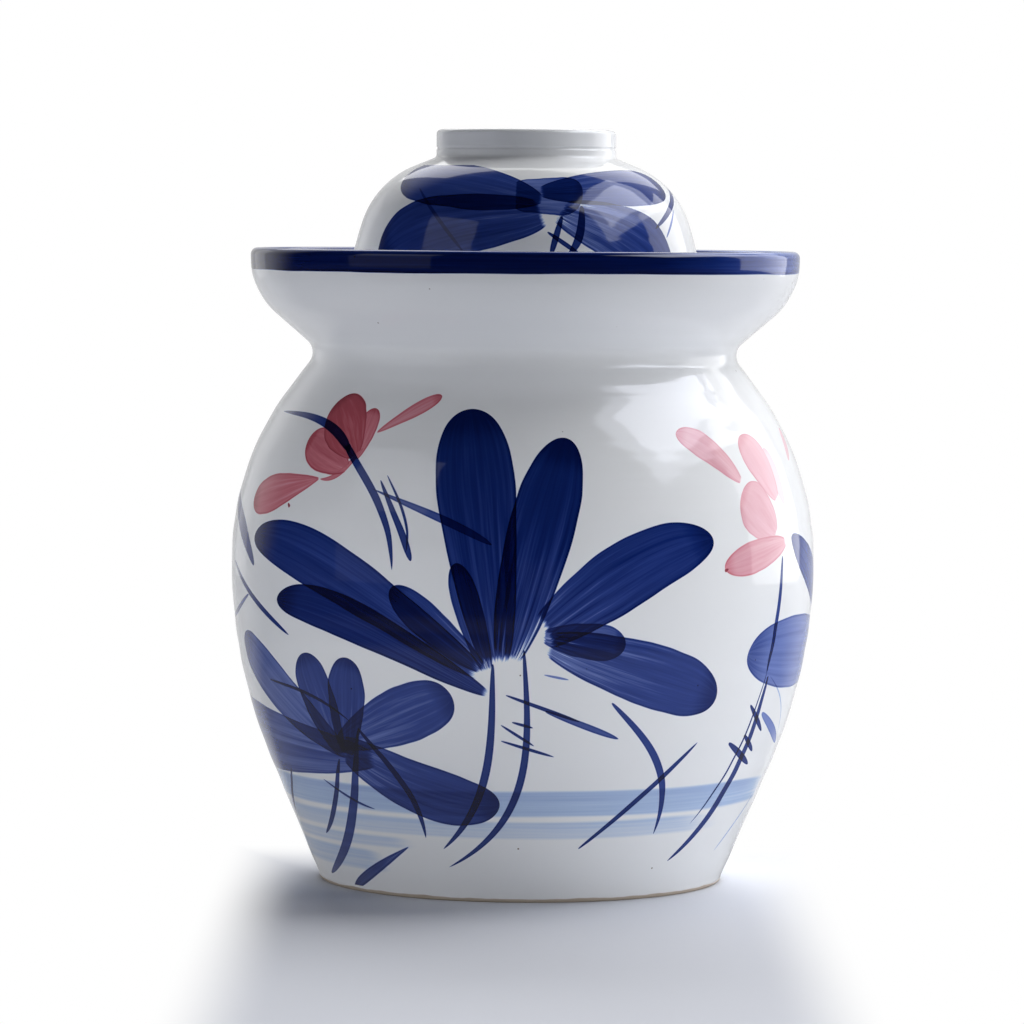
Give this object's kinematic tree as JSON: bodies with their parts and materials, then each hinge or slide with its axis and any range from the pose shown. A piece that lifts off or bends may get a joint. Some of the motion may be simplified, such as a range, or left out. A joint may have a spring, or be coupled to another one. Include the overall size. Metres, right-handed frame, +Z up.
{
  "type": "water seal pickle jar",
  "caption": "Wide-bellied glazed ceramic pickling jar whose flared collar holds a ring of water that seals a bowl-shaped lid.",
  "frame": {"origin": "centre of the foot, on the surface that the jar stands on", "axes": "+Z up along the axis that every piece is turned about; -Y faces the camera of the picture"},
  "size_m": [0.226, 0.226, 0.2901],
  "materials": {
    "jar_glaze": "glossy white glaze with cobalt brushwork",
    "inner_lid_glaze": "glossy plain white glaze",
    "outer_lid_glaze": "glossy white glaze with cobalt brushwork"
  },
  "bodies": {
    "jar": {"jar": "jar_glaze"},
    "inner_lid": {"inner_lid": "inner_lid_glaze"},
    "outer_lid": {"outer_lid": "outer_lid_glaze"}
  },
  "joints": [
    {"name": "outer_lid_lift", "type": "slide", "parent": "jar", "child": "outer_lid", "axis": [0, 0, 1], "range_m": [0, 0.12]},
    {"name": "inner_lid_lift", "type": "slide", "parent": "jar", "child": "inner_lid", "axis": [0, 0, 1], "range_m": [0, 0.06]}
  ],
  "couplings": [
    {"joint": "inner_lid_lift", "follows": "outer_lid_lift", "ratio": 0.5}
  ]
}
